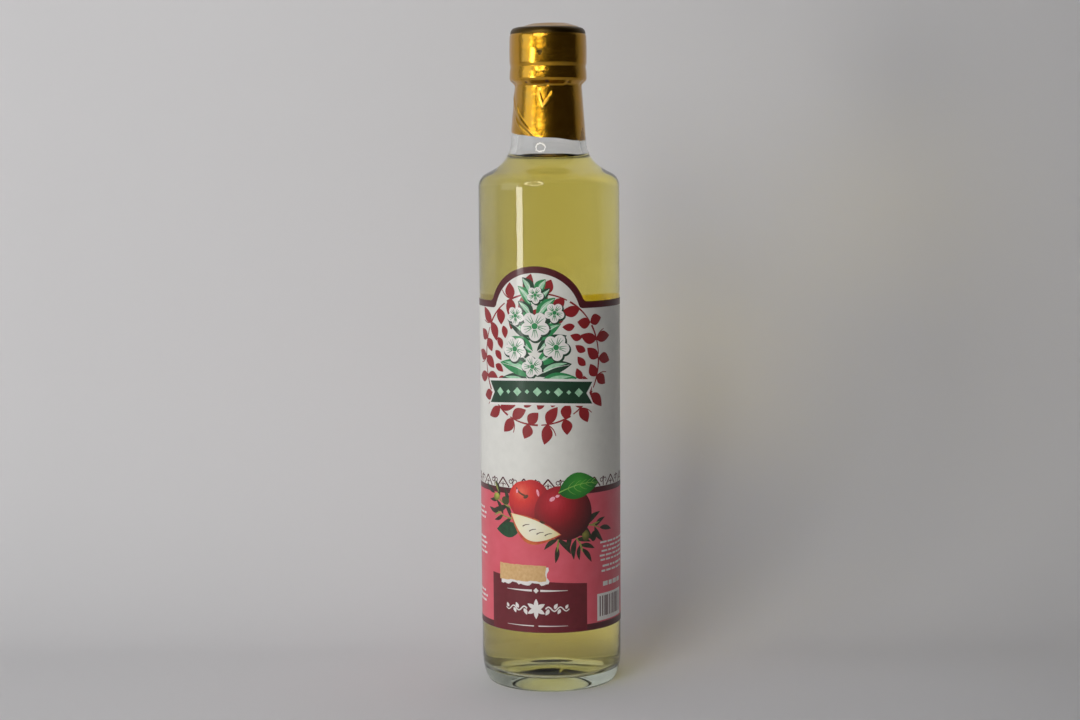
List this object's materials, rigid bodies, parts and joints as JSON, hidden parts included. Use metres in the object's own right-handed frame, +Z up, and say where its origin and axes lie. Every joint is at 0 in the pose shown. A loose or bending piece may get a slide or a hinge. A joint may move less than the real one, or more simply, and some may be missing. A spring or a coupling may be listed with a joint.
{
  "type": "vinegar bottle",
  "caption": "Tall round clear glass bottle filled with pale vinegar, screw closure under a gold shrink capsule, wrapped arched paper label.",
  "frame": {"origin": "centre of the bearing ring that the bottle stands on", "axes": "+Z up along the bottle's axis, -Y towards the front of the label"},
  "size_m": [0.0602, 0.0602, 0.2817],
  "materials": {
    "clear_glass": "clear flint glass, fire polished",
    "vinegar": "clear pale straw-gold liquid",
    "closure_shell": "drawn and lacquered",
    "gold_film": "gold metallised shrink film, glossy",
    "label_paper": "coated printed paper, semi-gloss"
  },
  "bodies": {
    "root": {"bottle_glass": "clear_glass", "vinegar": "vinegar", "closure": "closure_shell", "capsule": "gold_film", "label": "label_paper"}
  },
  "joints": []
}
